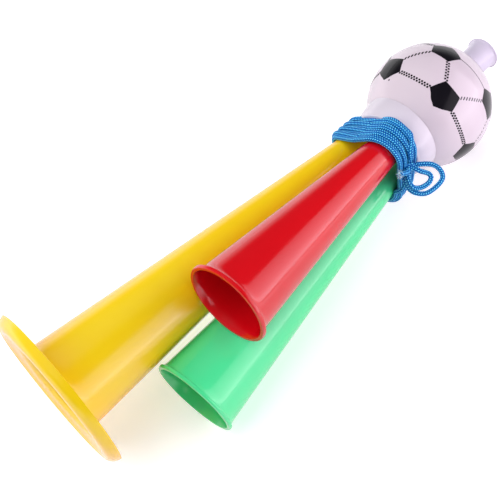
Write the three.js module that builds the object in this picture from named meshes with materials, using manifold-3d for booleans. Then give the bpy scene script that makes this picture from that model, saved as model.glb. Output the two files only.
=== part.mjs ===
// A three-tone fan horn: a white ball is the air chamber, a mouthpiece feeds it, and three
// plastic trumpets of different lengths sound together through reeds that stand in the ball.
// A braided lanyard is wound round the trumpet roots and tied in a bow.
// Millimetres and degrees, +Z up. The horn lies as it is put down on a table: on its ball,
// on the brim of the long trumpet and on the lip of the middle one.
import * as THREE from "three";
import { mergeVertices } from "three/addons/utils/BufferGeometryUtils.js";
import Module from "manifold-3d";

const wasm = await Module();
wasm.setup();

// Clearance between two pieces that touch, and how far a cutter runs past what it cuts.
const FIT_GAP = 0.3;
const OVERRUN = 2;

// Air chamber. Its frame has the ball's centre as origin, +Z towards the bells and +X
// towards the top trumpet.
const BALL_RADIUS = 33;
const BALL_WALL = 1.6;
const BALL_SEGMENTS = 36;
const BALL_RINGS = 10;

// Mouthpiece: a tube that is pushed into the back of the ball and flares to a rounded rim.
const MOUTHPIECE_REACH = 50.1;
const MOUTHPIECE_BORE = 5.6;
const MOUTHPIECE_WAIST = 8;
const MOUTHPIECE_FOOT = 8.9;
const MOUTHPIECE_RIM = 9.4;
const MOUTHPIECE_FLARE = 8;
const MOUTHPIECE_RIM_ROUND = 1.2;
const MOUTHPIECE_SPIGOT = 7.2;
const MOUTHPIECE_SPIGOT_LENGTH = 5;
const MOUTHPIECE_SEGMENTS = 32;

// Collar: the swelling neck between the ball and the trumpets. Its end stands COLLAR_RISE
// further from the ball's centre than the ball's own skin.
const COLLAR_CREASE_RADIUS = 22.6;
const COLLAR_END_RADIUS = 20.4;
const COLLAR_RISE = 0.6;
const COLLAR_END = BALL_RADIUS + COLLAR_RISE;
const COLLAR_SWELL = 1.2;
const COLLAR_NECK_RADIUS = 20.4;
const COLLAR_BORE = 19.1;
const COLLAR_NECK_LENGTH = 5;
const COLLAR_SEGMENTS = 40;

// Socket plate: closes the collar and carries the three trumpets on canted spigots.
const PLATE_THICKNESS = 2.4;
const PLATE_EDGE_ROUND = 1.2;
const SPIGOT_RADIUS = 6.1;
const SPIGOT_BORE = 4.6;
const SPIGOT_LENGTH = 12;
const SPIGOT_SEGMENTS = 24;

// Trumpet roots: where each axis starts beyond the collar, how far it stands off the middle
// axis, how much it leans outwards, and how far the two lower trumpets stand round from the
// top one.
const ROOT_RISE = 3.7;
const ROOT_PLANE = COLLAR_END + ROOT_RISE;
const ROOT_OFFSET = 13.7;
const TOP_CANT = 4.03;
const LOWER_CANT = 4.93;
const LOWER_SPREAD = 126.6;

// Trumpet bodies: plain cones of thin plastic. length runs from the root to the front edge,
// mouth is the cone's radius there and lip the radius of the edge itself.
const ROOT_RADIUS = 7.6;
const TRUMPET_WALL = 1.4;
const SOCKET_SHOULDER = 8;
const LIP_FLARE = 6;
const LIP_FLAT = 1.1;
const LIP_ROUND = 0.8;
const TRUMPETS = {
  red: { azimuth: 0, cant: TOP_CANT, length: 130, mouth: 20.4, lip: 22.3, colour: 0xd21420 },
  yellow: {
    azimuth: LOWER_SPREAD, cant: LOWER_CANT, length: 208, mouth: 24, lip: 37.6, colour: 0xfdc80c,
  },
  green: {
    azimuth: -LOWER_SPREAD, cant: LOWER_CANT, length: 162, mouth: 21.5, lip: 22.8, colour: 0x3bd873,
  },
};
const LIP_SEGMENTS = 40;

// The long trumpet's brim: a wide flare that rolls over a front crest and sweeps back.
const BRIM_RADIUS = 43.1;
const BRIM_SWEEP = 5.2;
const BRIM_FLARE = 10.5;
const BRIM_DISH = 1.6;
const BRIM_DISH_RADIUS = 30;
const BRIM_FLAT = 1.4;
const BRIM_SEGMENTS = 48;

// Reeds: each stands in the back of a spigot, a half-round body with a window that a thin
// tongue covers, and a clip that holds the tongue.
const REED_STEM_LENGTH = 8;
const REED_SHOULDER_RADIUS = 5;
const REED_SHOULDER = 1.2;
const REED_HEAD_RADIUS = 4;
const REED_HEAD_LENGTH = 17;
const REED_BORE = 2.5;
const REED_FLAT = 1.2;
const REED_TIP_WALL = 1.6;
const REED_WINDOW_WIDTH = 2.6;
const REED_WINDOW_LENGTH = 9;
const REED_SEGMENTS = 20;
const TONGUE_WIDTH = 4.4;
const TONGUE_THICKNESS = 0.4;
const CLIP_LENGTH = 3;
const CLIP_OUTER = 5.1;
const CLIP_STANDOFF = 0.8;

// Lanyard: a braided cord. The winding has LANYARD_LOOPS loops, and each loop lies one
// pitch from the next. Where the loops are drawn together, every other one rides on top.
const CORD_DIAMETER = 2.2;
const CORD_PITCH = 3.06;
const CORD_SIDES = 8;
const LOOP_SIDES = 6;
const LANYARD_LOOPS = 8;
const LOOP_STEPS = 24;
const CORD_LIFT = 0.75;
const GATHER_ANGLE = 61;

// The winding's middle, as places beyond the root plane at shares of one loop counted from
// the knot: over the top trumpet, round the long one, underneath, round the middle one. The
// loops lie side by side at SPREAD_SHARE, loosely over the top trumpet, and tightly elsewhere.
const WINDING_RISE = [8.7, 10.6, 12.8, 9.1, 7.5, 7.1, 6.5, 6.3];
const WINDING_MIDDLE = WINDING_RISE.map((rise) => ROOT_PLANE + rise);
const SPREAD_SHARE = 0.27;
const SPREAD_AFTER_SHARE = 0.13;
const SPREAD_BEFORE_SHARE = 0.15;
const LOOSE_BEFORE_SHARE = 0.25;
const TIGHT_BEFORE_SHARE = 0.4;
const LOOSE_GATHERING_SHARE = 0.6;

// Knot: a tight lump on top of the gathered loops, between the top and the middle trumpet.
const KNOT_AZIMUTH = -LOWER_SPREAD / 2;
const KNOT_OFF_MIDDLE = 7;
const KNOT_RISE = 6.7;
const KNOT_ALONG = ROOT_PLANE + KNOT_RISE;
const KNOT_LENGTH = 7.6;
const KNOT_WIDTH = 6.4;
const KNOT_HEIGHT = 4.6;
const KNOT_ROUND = 1.4;
const KNOT_SEAT = 0.6;
const KNOT_END_SHIFT = 1.9;
const KNOT_ENTRY_SHARE = 0.042;
const KNOT_SHIFT_SHARE = 0.083;
const KNOT_RISE_SHARE = 0.155;

// Bow and cut end: routes by hand as [along, outwards, round] from the middle of the knot,
// along the chamber's axis, away from it, and round the winding towards the top trumpet.
const BOW_OUTER_ROUTE = [
  [-4.1, 0.2, 0.6], [-6.3, 0.4, 0.9], [-7.8, 2.8, 1.6], [-8.8, 5.5, 1], [-9.6, 8.8, -0.3], [-9.3, 11.6, -1.8],
  [-8.4, 14.3, -3.6], [-6.1, 15, -4.9], [-2.7, 14.5, -6], [0.4, 13.2, -6.8], [3.4, 11.8, -7.4], [5.8, 9.8, -7.4],
  [7.7, 6.8, -6.7], [8.6, 3.4, -5.1], [8.1, 0.9, -3], [6.3, 0.3, -1.8], [4.1, 0.2, -1.6],
];
const BOW_INNER_ROUTE = [
  [-1.4, 2.6, 0.4], [-1.5, 4.8, 0.2], [-3, 7, -1.4], [-3.9, 8.9, -2.8], [-3.5, 10.6, -3.8], [-0.7, 10.3, -4.9],
  [2.5, 9, -5.6], [4.6, 7.4, -5.2], [4, 5.8, -2.6], [1.9, 4.8, -0.9], [1.4, 2.6, -0.6],
];
const END_ROUTE = [[4.1, 0, 1.2], [6.3, 0, 1.2], [8.6, -0.3, 4.2], [10.2, -0.7, 7.6]];
const BOW_STEPS = 24;
const END_STEPS = 4;

// Parameters of the search for the pose at rest.
const REST_STEPS = 40;

const WHITE = 0xf1edf3;
const PALE = 0xeeeaf6;
const BLUE = 0x1479cf;
const REED_BLACK = 0x23252a;
const BRASS = 0xc9a14a;

const radians = THREE.MathUtils.degToRad;
const at = (radius, along) => new THREE.Vector2(radius, along);

// Points of an arc round (0, 0) in the profile plane, from one place on the axis to another.
function ballArc(radius, from, to, steps) {
  const start = Math.asin(from / radius);
  const end = Math.asin(to / radius);
  return Array.from({ length: steps + 1 }, (_, i) => {
    const angle = start + ((end - start) * i) / steps;
    return at(radius * Math.cos(angle), radius * Math.sin(angle));
  });
}

// Points of a smooth bend from a to b that aims at the corner between them.
function bend(a, corner, b, steps) {
  return new THREE.QuadraticBezierCurve(a, corner, b).getPoints(steps);
}

// Revolves a closed profile of (radius, place along the axis) about +Z.
function turned(profile, segments) {
  return new THREE.LatheGeometry([...profile, profile[0]], segments).rotateX(Math.PI / 2);
}

// A closed mesh as a solid for joining and cutting, and back.
function solid(geometry) {
  const bare = geometry.clone();
  bare.deleteAttribute("normal");
  bare.deleteAttribute("uv");
  const merged = mergeVertices(bare, 1e-3);
  return new wasm.Manifold(
    new wasm.Mesh({
      numProp: 3,
      vertProperties: merged.attributes.position.array,
      triVerts: new Uint32Array(merged.index.array),
    }),
  );
}

function geometryOf(made) {
  const mesh = made.getMesh();
  const geometry = new THREE.BufferGeometry();
  geometry.setAttribute("position", new THREE.BufferAttribute(mesh.vertProperties, 3));
  geometry.setIndex(new THREE.BufferAttribute(mesh.triVerts, 1));
  geometry.computeVertexNormals();
  return geometry;
}

function piece(name, geometry, colour, roughness, metalness = 0) {
  const mesh = new THREE.Mesh(
    geometry,
    new THREE.MeshStandardMaterial({ color: colour, roughness, metalness }),
  );
  mesh.name = name;
  return mesh;
}

const sphereHeight = (sphereRadius, radius) => Math.sqrt(sphereRadius ** 2 - radius ** 2);

// Where the trumpets and their reeds stand: a group whose +Z is the trumpet's own axis.
function standOn(trumpet, ...meshes) {
  const stand = new THREE.Group();
  const turn = new THREE.Group();
  turn.rotation.z = radians(trumpet.azimuth);
  stand.position.set(ROOT_OFFSET, 0, ROOT_PLANE);
  stand.rotation.y = radians(trumpet.cant);
  stand.add(...meshes);
  turn.add(stand);
  return turn;
}

// Geometry moved from a trumpet's own frame to the chamber's frame.
function inChamber(trumpet, geometry) {
  return geometry
    .rotateY(radians(trumpet.cant))
    .translate(ROOT_OFFSET, 0, ROOT_PLANE)
    .rotateZ(radians(trumpet.azimuth));
}

// The hollow ball, open at the back for the mouthpiece and in front for the collar.
function ballShell() {
  const inside = BALL_RADIUS - BALL_WALL;
  const backHole = MOUTHPIECE_SPIGOT + FIT_GAP;
  const frontHole = COLLAR_NECK_RADIUS + FIT_GAP;
  const outer = ballArc(
    BALL_RADIUS, -sphereHeight(BALL_RADIUS, backHole), sphereHeight(BALL_RADIUS, frontHole), BALL_RINGS,
  );
  const inner = ballArc(
    inside, sphereHeight(inside, frontHole), -sphereHeight(inside, backHole), BALL_RINGS - 1,
  );
  return turned([...outer, ...inner], BALL_SEGMENTS);
}

// The mouthpiece: spigot inside the ball, foot on the ball, waist, and a rounded open rim.
function mouthpiece() {
  const seat = -(BALL_RADIUS + FIT_GAP);
  const footEdge = -sphereHeight(BALL_RADIUS + FIT_GAP, MOUTHPIECE_FOOT);
  const seatEdge = -sphereHeight(BALL_RADIUS + FIT_GAP, MOUTHPIECE_SPIGOT);
  const spigotEnd = seat + BALL_WALL + MOUTHPIECE_SPIGOT_LENGTH;
  const flareStart = -MOUTHPIECE_REACH + MOUTHPIECE_FLARE;
  const rimStart = -MOUTHPIECE_REACH + MOUTHPIECE_RIM_ROUND;
  const rimFlat = MOUTHPIECE_RIM - MOUTHPIECE_RIM_ROUND;
  const outside = [
    ...bend(at(MOUTHPIECE_FOOT, footEdge), at(MOUTHPIECE_WAIST, seat), at(MOUTHPIECE_WAIST, flareStart), 4),
    ...bend(
      at(MOUTHPIECE_WAIST, flareStart), at(MOUTHPIECE_WAIST, rimStart), at(MOUTHPIECE_RIM, rimStart), 4,
    ).slice(1),
    ...bend(
      at(MOUTHPIECE_RIM, rimStart), at(MOUTHPIECE_RIM, -MOUTHPIECE_REACH), at(rimFlat, -MOUTHPIECE_REACH), 3,
    ).slice(1),
  ];
  const inside = [
    ...bend(
      at(rimFlat - MOUTHPIECE_RIM_ROUND / 2, -MOUTHPIECE_REACH), at(MOUTHPIECE_BORE, rimStart),
      at(MOUTHPIECE_BORE, flareStart), 4,
    ),
    at(MOUTHPIECE_BORE, spigotEnd),
  ];
  const round = [...inside, at(MOUTHPIECE_SPIGOT, spigotEnd), at(MOUTHPIECE_SPIGOT, seatEdge), ...outside];
  return turned(round.reverse(), MOUTHPIECE_SEGMENTS);
}

// The collar: a neck inside the ball, a seat that follows the ball, and the swelling outside.
function collar() {
  const seatRadius = BALL_RADIUS + FIT_GAP;
  const crease = sphereHeight(seatRadius, COLLAR_CREASE_RADIUS);
  const neckTop = sphereHeight(seatRadius, COLLAR_NECK_RADIUS);
  const neckEnd = sphereHeight(BALL_RADIUS - BALL_WALL, COLLAR_NECK_RADIUS) - COLLAR_NECK_LENGTH;
  const middle = (crease + COLLAR_END) / 2;
  const swelling = at((COLLAR_CREASE_RADIUS + COLLAR_END_RADIUS) / 2 + 2 * COLLAR_SWELL, middle);
  return turned(
    [
      at(COLLAR_BORE, neckEnd),
      at(COLLAR_NECK_RADIUS, neckEnd),
      ...ballArc(seatRadius, neckTop, crease, 2),
      ...bend(at(COLLAR_CREASE_RADIUS, crease), swelling, at(COLLAR_END_RADIUS, COLLAR_END), 6).slice(1),
      at(COLLAR_BORE, COLLAR_END),
    ],
    COLLAR_SEGMENTS,
  );
}

const PLATE_BACK = COLLAR_END + FIT_GAP;
const PLATE_FACE = PLATE_BACK + PLATE_THICKNESS;

// The socket plate: a disc with a rounded edge, three canted spigots and their bores.
function socketPlate() {
  const edge = COLLAR_END_RADIUS - PLATE_EDGE_ROUND;
  const disc = turned(
    [
      at(0, PLATE_BACK),
      at(COLLAR_END_RADIUS, PLATE_BACK),
      ...bend(
        at(COLLAR_END_RADIUS, PLATE_FACE - PLATE_EDGE_ROUND), at(COLLAR_END_RADIUS, PLATE_FACE),
        at(edge, PLATE_FACE), 3,
      ),
      at(0, PLATE_FACE),
    ],
    COLLAR_SEGMENTS,
  );
  const rod = (radius, from, to) =>
    turned([at(0, from), at(radius, from), at(radius, to), at(0, to)], SPIGOT_SEGMENTS);
  const foot = PLATE_FACE - ROOT_PLANE - PLATE_THICKNESS / 2;
  let made = solid(disc);
  for (const trumpet of Object.values(TRUMPETS)) {
    made = made.add(solid(inChamber(trumpet, rod(SPIGOT_RADIUS, foot, SPIGOT_LENGTH))));
  }
  for (const trumpet of Object.values(TRUMPETS)) {
    const bore = rod(SPIGOT_BORE, foot - PLATE_THICKNESS - OVERRUN, SPIGOT_LENGTH + OVERRUN);
    made = made.subtract(solid(inChamber(trumpet, bore)));
  }
  return geometryOf(made);
}

const coneRadius = (trumpet, along) =>
  ROOT_RADIUS + ((trumpet.mouth - ROOT_RADIUS) * along) / trumpet.length;

// The bore of a trumpet from its mouth back to its root, and the socket that takes the spigot.
function boreBack(trumpet, from) {
  const socket = SPIGOT_RADIUS + FIT_GAP;
  const shoulder = SPIGOT_LENGTH + SOCKET_SHOULDER;
  return [
    at(coneRadius(trumpet, from) - TRUMPET_WALL, from),
    at(coneRadius(trumpet, shoulder) - TRUMPET_WALL, shoulder),
    at(socket, SPIGOT_LENGTH + FIT_GAP),
    at(socket, 0),
  ];
}

// A short trumpet: a cone whose edge flares into a small rolled lip with a flat front.
function lippedTrumpet(trumpet) {
  const { length, lip } = trumpet;
  const flareStart = length - LIP_FLARE;
  const outerStart = at(coneRadius(trumpet, flareStart), flareStart);
  const innerStart = at(coneRadius(trumpet, flareStart) - TRUMPET_WALL, flareStart);
  const lipBack = length - 2 * LIP_ROUND;
  const flatOuter = lip - LIP_ROUND;
  const outside = [
    at(ROOT_RADIUS, 0),
    ...bend(outerStart, at(coneRadius(trumpet, lipBack), lipBack), at(lip, lipBack), 4),
    ...bend(at(lip, lipBack), at(lip, length), at(flatOuter, length), 3).slice(1),
  ];
  const inside = bend(
    at(flatOuter - LIP_FLAT, length), at(coneRadius(trumpet, length) - TRUMPET_WALL, lipBack), innerStart, 4,
  );
  return turned([...outside, ...inside, ...boreBack(trumpet, flareStart).slice(1)], LIP_SEGMENTS);
}

// The long trumpet: the wall follows one line from the cone through the flare and the dish
// to the front crest, and rolls over it to the edge of the brim.
function brimmedTrumpet(trumpet) {
  const { length, lip } = trumpet;
  const flareStart = length - BRIM_FLARE;
  const dish = length - BRIM_DISH;
  const edge = length - BRIM_SWEEP;
  const wall = TRUMPET_WALL;
  const cone = coneRadius(trumpet, flareStart);
  const front = [
    ...bend(at(cone - wall, flareStart), at(cone, dish), at(BRIM_DISH_RADIUS, dish), 5),
    ...bend(
      at(BRIM_DISH_RADIUS, dish), at(lip - BRIM_FLAT * 2, length - BRIM_DISH / 2), at(lip - BRIM_FLAT, length), 2,
    ).slice(1),
    at(lip, length),
    ...bend(at(lip, length), at((lip + BRIM_RADIUS) / 2 + wall, length), at(BRIM_RADIUS, edge), 5).slice(1),
  ];
  const back = [
    ...bend(
      at(BRIM_RADIUS - wall, edge), at((lip + BRIM_RADIUS) / 2, length - wall), at(lip, length - wall), 4,
    ),
    at(BRIM_DISH_RADIUS, dish - wall),
    ...bend(at(BRIM_DISH_RADIUS - wall, dish - wall), at(cone, dish - wall), at(cone, flareStart - wall), 5),
  ];
  const bore = boreBack(trumpet, flareStart).slice(1).reverse();
  return turned([at(ROOT_RADIUS, 0), ...bore, ...front, ...back].reverse(), BRIM_SEGMENTS);
}

// A reed body in its trumpet's frame: stem in the spigot, shoulder under the plate, and a
// half-round head that points into the ball. The window opens the bore to the flat.
const REED_SEAT = PLATE_BACK - ROOT_PLANE - FIT_GAP - REED_SHOULDER_RADIUS * Math.sin(radians(LOWER_CANT));
const REED_HEAD = REED_SEAT - REED_SHOULDER;
const REED_TIP = REED_HEAD - REED_HEAD_LENGTH;
const CLIP_TOP = REED_HEAD - FIT_GAP;

function block(x0, x1, y0, y1, z0, z1) {
  return new THREE.BoxGeometry(x1 - x0, y1 - y0, z1 - z0)
    .translate((x0 + x1) / 2, (y0 + y1) / 2, (z0 + z1) / 2);
}

function reedBody() {
  const stem = SPIGOT_BORE - FIT_GAP;
  const stemEnd = REED_SEAT + REED_STEM_LENGTH;
  const blank = turned(
    [
      at(0, REED_TIP), at(REED_HEAD_RADIUS, REED_TIP), at(REED_HEAD_RADIUS, REED_HEAD),
      at(REED_SHOULDER_RADIUS, REED_HEAD), at(REED_SHOULDER_RADIUS, REED_SEAT), at(stem, REED_SEAT),
      at(stem, stemEnd), at(0, stemEnd),
    ],
    REED_SEGMENTS,
  );
  const bore = turned(
    [
      at(0, REED_TIP + REED_TIP_WALL), at(REED_BORE, REED_TIP + REED_TIP_WALL),
      at(REED_BORE, stemEnd + OVERRUN), at(0, stemEnd + OVERRUN),
    ],
    REED_SEGMENTS,
  );
  const reach = REED_HEAD_RADIUS + OVERRUN;
  const flat = block(REED_FLAT, reach, -reach, reach, REED_TIP - OVERRUN, REED_HEAD);
  const windowEnd = REED_TIP + REED_TIP_WALL + REED_WINDOW_LENGTH;
  const windowWide = REED_WINDOW_WIDTH / 2;
  const opening = block(0, reach, -windowWide, windowWide, REED_TIP + REED_TIP_WALL, windowEnd);
  return geometryOf(solid(blank).subtract(solid(bore)).subtract(solid(flat)).subtract(solid(opening)));
}

// The tongue lies over the window, a thin strip from the shoulder to the tip.
function reedTongue() {
  const under = REED_FLAT + FIT_GAP;
  return block(under, under + TONGUE_THICKNESS, -TONGUE_WIDTH / 2, TONGUE_WIDTH / 2, REED_TIP, CLIP_TOP);
}

// The clip: a ring round the head with a pad that holds the tongue down.
function reedClip() {
  const inner = REED_HEAD_RADIUS + FIT_GAP;
  const bottom = CLIP_TOP - CLIP_LENGTH;
  const ring = turned(
    [at(inner, bottom), at(CLIP_OUTER, bottom), at(CLIP_OUTER, CLIP_TOP), at(inner, CLIP_TOP)],
    REED_SEGMENTS,
  );
  const rod = turned(
    [at(0, bottom), at(CLIP_OUTER, bottom), at(CLIP_OUTER, CLIP_TOP), at(0, CLIP_TOP)], REED_SEGMENTS,
  );
  const padUnder = REED_FLAT + FIT_GAP + TONGUE_THICKNESS + FIT_GAP;
  const reach = CLIP_OUTER + OVERRUN;
  const pad = block(padUnder, reach, -reach, reach, bottom - OVERRUN, CLIP_TOP + OVERRUN);
  return geometryOf(solid(ring).add(solid(rod).intersect(solid(pad))));
}

// The hull round the three roots, as the place on it at a share of its perimeter from the
// knot, at a given place along the axis and a given stand-off from the trumpets.
function hullPoint(share, along, standOff) {
  const order = [TRUMPETS.red, TRUMPETS.yellow, TRUMPETS.green];
  const stations = order.map((trumpet) => {
    const run = along - ROOT_PLANE;
    const away = ROOT_OFFSET + run * Math.tan(radians(trumpet.cant));
    const angle = radians(trumpet.azimuth);
    return {
      centre: new THREE.Vector2(away * Math.cos(angle), away * Math.sin(angle)),
      radius: coneRadius(trumpet, run) + standOff,
    };
  });
  const runs = [];
  stations.forEach((here, i) => {
    const before = stations[(i + 2) % 3];
    const after = stations[(i + 1) % 3];
    const cameAt = tangentAngle(before, here);
    const leavesAt = tangentAngle(here, after);
    const sweep = (leavesAt - cameAt + 2 * Math.PI) % (2 * Math.PI);
    runs.push({ here, cameAt, sweep, length: here.radius * sweep });
    const end = onCircle(after, leavesAt);
    const start = onCircle(here, leavesAt);
    runs.push({ start, end, length: start.distanceTo(end) });
  });
  const total = runs.reduce((sum, run) => sum + run.length, 0);
  const knotRun = runs[5];
  let left = (((share % 1) + 1) % 1) * total - knotRun.length / 2 + KNOT_OFF_MIDDLE;
  if (left < 0) return knotRun.end.clone().lerp(knotRun.start, -left / knotRun.length);
  for (const run of runs) {
    if (left <= run.length) {
      if (run.here) return onCircle(run.here, run.cameAt + (run.sweep * left) / run.length);
      return run.start.clone().lerp(run.end, left / run.length);
    }
    left -= run.length;
  }
  return knotRun.end.clone();
}

// The outward direction in which a straight run leaves one round for the next one.
function tangentAngle(from, to) {
  const way = to.centre.clone().sub(from.centre);
  const lean = Math.acos((from.radius - to.radius) / way.length());
  return Math.atan2(way.y, way.x) - lean;
}

function onCircle({ centre, radius }, angle) {
  return new THREE.Vector2(centre.x + radius * Math.cos(angle), centre.y + radius * Math.sin(angle));
}

// Value of a closed smooth curve through evenly spaced values, at a share of the round.
function roundValue(values, share) {
  const place = (((share % 1) + 1) % 1) * values.length;
  const i = Math.floor(place);
  const [a, b, c, d] = [-1, 0, 1, 2].map((step) => values[(i + step + values.length) % values.length]);
  const t = place - i;
  return b + (t * (c - a + t * (2 * a - 5 * b + 4 * c - d + t * (3 * (b - c) + d - a)))) / 2;
}

// How far the loops are drawn together at a share of the round: 0 spread out, 1 gathered.
function gathering(share) {
  const { smoothstep, euclideanModulo, lerp } = THREE.MathUtils;
  const after = euclideanModulo(share - SPREAD_SHARE, 1);
  if (after < 1 / 2) return smoothstep(after, 0, SPREAD_AFTER_SHARE);
  const before = 1 - after;
  const loose = LOOSE_GATHERING_SHARE * smoothstep(before, 0, SPREAD_BEFORE_SHARE);
  return lerp(loose, 1, smoothstep(before, LOOSE_BEFORE_SHARE, TIGHT_BEFORE_SHARE));
}

const CORD_STAND_OFF = CORD_DIAMETER / 2 + CORD_LIFT;
const UPPER_LAYER = CORD_PITCH * Math.sin(radians(GATHER_ANGLE * LOOSE_GATHERING_SHARE));
const KNOT_FLOOR = CORD_STAND_OFF + UPPER_LAYER + CORD_DIAMETER / 2 + KNOT_SEAT;
const KNOT_MIDDLE = KNOT_FLOOR + KNOT_HEIGHT / 2;

// The winding as a curve. Its steps fall at the same shares of every loop, so neighbouring
// loops keep their distance, and both ends rise to the knot.
class Winding extends THREE.Curve {
  getUtoTmapping(share) {
    return share;
  }

  getPoint(share) {
    const knotShare = (KNOT_WIDTH / 2 + FIT_GAP) / hullLength();
    const turns = knotShare + share * (LANYARD_LOOPS - 2 * knotShare);
    const round = turns % 1;
    const angle = radians(GATHER_ANGLE) * gathering(round);
    const middle = roundValue(WINDING_MIDDLE, round);
    let along = middle + (turns - LANYARD_LOOPS / 2) * CORD_PITCH * Math.cos(angle);
    const upper = Math.abs(Math.floor(turns - SPREAD_SHARE)) % 2;
    let standOff = CORD_STAND_OFF + upper * CORD_PITCH * Math.sin(angle);
    const fromEnd = Math.min(turns, LANYARD_LOOPS - turns) - knotShare;
    if (fromEnd < KNOT_RISE_SHARE) {
      const rise = 1 - THREE.MathUtils.smoothstep(fromEnd, KNOT_SHIFT_SHARE, KNOT_RISE_SHARE);
      const shift = 1 - THREE.MathUtils.smoothstep(fromEnd, KNOT_ENTRY_SHARE, KNOT_SHIFT_SHARE);
      const side = Math.sign(turns - LANYARD_LOOPS / 2);
      standOff += rise * (KNOT_MIDDLE - standOff);
      along += shift * (KNOT_ALONG + side * KNOT_END_SHIFT - along);
    }
    const flat = hullPoint(round, along, standOff);
    return new THREE.Vector3(flat.x, flat.y, along);
  }
}

function hullLength() {
  let length = 0;
  let before = hullPoint(0, KNOT_ALONG, CORD_STAND_OFF);
  for (let i = 1; i <= LOOP_STEPS; i += 1) {
    const next = hullPoint(i / LOOP_STEPS, KNOT_ALONG, CORD_STAND_OFF);
    length += before.distanceTo(next);
    before = next;
  }
  return length;
}

// Least clear space between the turns of a wound cord, measured between its step points and
// the points halfway between them, on stretches more than half a loop apart.
function leastGap(curve, steps, diameter, apart) {
  const points = Array.from({ length: 2 * steps + 1 }, (_, i) => curve.getPointAt(i / (2 * steps)));
  let least = Infinity;
  points.forEach((a, i) => {
    for (let j = i + 2 * apart; j < points.length; j += 1) least = Math.min(least, a.distanceTo(points[j]));
  });
  return least - diameter;
}

function cordSection(sides) {
  const section = new THREE.Shape();
  for (let i = 0; i < sides; i += 1) {
    const angle = (2 * Math.PI * i) / sides;
    const x = (CORD_DIAMETER / 2) * Math.cos(angle);
    const y = (CORD_DIAMETER / 2) * Math.sin(angle);
    if (i === 0) section.moveTo(x, y);
    else section.lineTo(x, y);
  }
  return section;
}

function cordAlong(curve, steps, sides = CORD_SIDES) {
  return new THREE.ExtrudeGeometry(cordSection(sides), { steps, extrudePath: curve });
}

// The knot's frame: origin in its middle, +X outwards, +Y round the winding, +Z along.
function knotFrame() {
  const out = radians(KNOT_AZIMUTH);
  const root = hullPoint(0, KNOT_ALONG, KNOT_MIDDLE);
  return new THREE.Matrix4().makeRotationZ(out).setPosition(root.x, root.y, KNOT_ALONG);
}

function knot() {
  const wide = KNOT_WIDTH / 2 - KNOT_ROUND;
  const high = KNOT_HEIGHT / 2 - KNOT_ROUND;
  const outline = new THREE.Shape();
  outline.moveTo(-high, -wide);
  outline.lineTo(high, -wide);
  outline.lineTo(high, wide);
  outline.lineTo(-high, wide);
  outline.closePath();
  const depth = KNOT_LENGTH - 2 * KNOT_ROUND;
  return new THREE.ExtrudeGeometry(outline, {
    depth, bevelSize: KNOT_ROUND, bevelThickness: KNOT_ROUND, bevelSegments: 3,
  })
    .translate(0, 0, -depth / 2)
    .applyMatrix4(knotFrame());
}

// A hand-laid route from the knot, as a smooth curve.
function fromKnot(route) {
  const frame = knotFrame();
  const points = route.map(([along, outwards, round]) =>
    new THREE.Vector3(outwards, round, along).applyMatrix4(frame));
  return new THREE.CatmullRomCurve3(points, false, "centripetal");
}

// The pose at rest: the plane through the three lowest points of the ball, the brim and the
// middle trumpet's lip is the table, found by trying a plane and taking its contacts again.
function tableDown() {
  const ring = (trumpet, along, radius) => {
    const turn = new THREE.Euler(0, radians(trumpet.cant), 0);
    const spin = new THREE.Vector3(0, 0, 1);
    const axis = new THREE.Vector3(0, 0, 1).applyEuler(turn).applyAxisAngle(spin, radians(trumpet.azimuth));
    const centre = new THREE.Vector3(ROOT_OFFSET, 0, ROOT_PLANE)
      .applyAxisAngle(spin, radians(trumpet.azimuth))
      .addScaledVector(axis, along);
    return (down) => {
      const out = down.clone().addScaledVector(axis, -down.dot(axis)).normalize();
      return centre.clone().addScaledVector(out, radius);
    };
  };
  const { yellow, green } = TRUMPETS;
  const contacts = [
    (down) => down.clone().multiplyScalar(BALL_RADIUS),
    ring(yellow, yellow.length - BRIM_SWEEP, BRIM_RADIUS),
    ring(green, green.length - LIP_ROUND, green.lip),
  ];
  let down = new THREE.Vector3(-1, 0, 0);
  for (let i = 0; i < REST_STEPS; i += 1) {
    const [a, b, c] = contacts.map((lowest) => lowest(down));
    down = b.sub(a).cross(c.sub(a)).normalize();
    if (down.x > 0) down.negate();
  }
  return down;
}

const chamber = new THREE.Group();
chamber.add(
  piece("ball_shell", ballShell(), WHITE, 0.35),
  piece("mouthpiece", mouthpiece(), PALE, 0.3),
  piece("collar", collar(), PALE, 0.3),
  piece("socket_plate", socketPlate(), PALE, 0.35),
);
for (const [name, trumpet] of Object.entries(TRUMPETS)) {
  const body = name === "yellow" ? brimmedTrumpet(trumpet) : lippedTrumpet(trumpet);
  chamber.add(
    standOn(
      trumpet,
      piece(`${name}_horn`, body, trumpet.colour, 0.28),
      piece(`${name}_reed_body`, reedBody(), REED_BLACK, 0.5),
      piece(`${name}_reed_tongue`, reedTongue(), BRASS, 0.3, 0.9),
      piece(`${name}_reed_clip`, reedClip(), PALE, 0.45),
    ),
  );
}

const winding = new Winding();
const windingSteps = LANYARD_LOOPS * LOOP_STEPS;
const gap = leastGap(winding, windingSteps, CORD_DIAMETER, LOOP_STEPS / 2);
console.log(`least gap between the loops of the winding: ${gap.toFixed(2)} mm`);
chamber.add(
  piece("lanyard_winding", cordAlong(winding, windingSteps, LOOP_SIDES), BLUE, 0.8),
  piece("lanyard_knot", knot(), BLUE, 0.8),
  piece("lanyard_bow_outer", cordAlong(fromKnot(BOW_OUTER_ROUTE), BOW_STEPS), BLUE, 0.8),
  piece("lanyard_bow_inner", cordAlong(fromKnot(BOW_INNER_ROUTE), BOW_STEPS), BLUE, 0.8),
  piece("lanyard_end", cordAlong(fromKnot(END_ROUTE), END_STEPS), BLUE, 0.8),
);

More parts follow.
